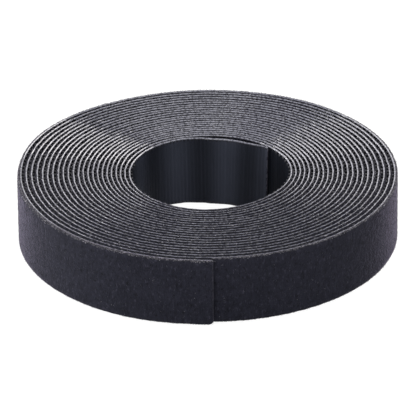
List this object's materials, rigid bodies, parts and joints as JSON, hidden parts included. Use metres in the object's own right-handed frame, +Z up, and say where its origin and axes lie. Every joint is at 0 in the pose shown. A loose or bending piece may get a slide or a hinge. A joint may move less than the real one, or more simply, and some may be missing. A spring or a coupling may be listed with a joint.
{
  "type": "hook and loop tape roll",
  "caption": "Flat roll of black back-to-back hook and loop tape, wound without a core and lying on its side, with a tail that peels off and a free inner end.",
  "frame": {"origin": "axis of the winding, at the underside of the roll", "axes": "+Z up along the axis of the winding; the outer end of the tape is at the front, on -Y; the inner end is at the back right, between +X and +Y"},
  "size_m": [0.1062, 0.107, 0.02],
  "materials": {
    "loop_fabric": "brushed nylon loop pile, black with a faint violet sheen",
    "hook_strip": "moulded plastic film with rows of small hooks, satin black"
  },
  "bodies": {
    "winding": {"winding_loop_fabric": "loop_fabric", "winding_hook_strip": "hook_strip"},
    "tail_1": {"tail_loop_fabric_1": "loop_fabric", "tail_hook_strip_1": "hook_strip"},
    "tail_2": {"tail_loop_fabric_2": "loop_fabric", "tail_hook_strip_2": "hook_strip"},
    "tail_3": {"tail_loop_fabric_3": "loop_fabric", "tail_hook_strip_3": "hook_strip"},
    "tail_4": {"tail_loop_fabric_4": "loop_fabric", "tail_hook_strip_4": "hook_strip"},
    "tail_5": {"tail_loop_fabric_5": "loop_fabric", "tail_hook_strip_5": "hook_strip"},
    "tail_6": {"tail_loop_fabric_6": "loop_fabric", "tail_hook_strip_6": "hook_strip"},
    "inner_end_1": {"inner_end_loop_fabric_1": "loop_fabric", "inner_end_hook_strip_1": "hook_strip"},
    "inner_end_2": {"inner_end_loop_fabric_2": "loop_fabric", "inner_end_hook_strip_2": "hook_strip"},
    "inner_end_3": {"inner_end_loop_fabric_3": "loop_fabric", "inner_end_hook_strip_3": "hook_strip"}
  },
  "joints": [
    {"name": "tail_bend_1", "type": "hinge", "parent": "winding", "child": "tail_1", "pos_m": [-0.05349, 0, 0.01], "axis": [0, 0, -1], "range_deg": [0, 30]},
    {"name": "tail_bend_2", "type": "hinge", "parent": "tail_1", "child": "tail_2", "pos_m": [-0.05173, -0.01386, 0.01], "axis": [0, 0, -1], "range_deg": [0, 30]},
    {"name": "tail_bend_3", "type": "hinge", "parent": "tail_2", "child": "tail_3", "pos_m": [-0.04644, -0.02681, 0.01], "axis": [0, 0, -1], "range_deg": [0, 30]},
    {"name": "tail_bend_4", "type": "hinge", "parent": "tail_3", "child": "tail_4", "pos_m": [-0.03796, -0.03796, 0.01], "axis": [0, 0, -1], "range_deg": [0, 30]},
    {"name": "tail_bend_5", "type": "hinge", "parent": "tail_4", "child": "tail_5", "pos_m": [-0.02688, -0.04655, 0.01], "axis": [0, 0, -1], "range_deg": [0, 30]},
    {"name": "tail_bend_6", "type": "hinge", "parent": "tail_5", "child": "tail_6", "pos_m": [-0.01393, -0.05198, 0.01], "axis": [0, 0, -1], "range_deg": [0, 30]},
    {"name": "inner_end_bend_1", "type": "hinge", "parent": "winding", "child": "inner_end_1", "pos_m": [-0.0157, 0.0157, 0.01], "axis": [0, 0, -1], "range_deg": [0, 30]},
    {"name": "inner_end_bend_2", "type": "hinge", "parent": "inner_end_1", "child": "inner_end_2", "pos_m": [-0.00569, 0.02122, 0.01], "axis": [0, 0, -1], "range_deg": [0, 30]},
    {"name": "inner_end_bend_3", "type": "hinge", "parent": "inner_end_2", "child": "inner_end_3", "pos_m": [0.0056, 0.02089, 0.01], "axis": [0, 0, -1], "range_deg": [0, 30]}
  ]
}
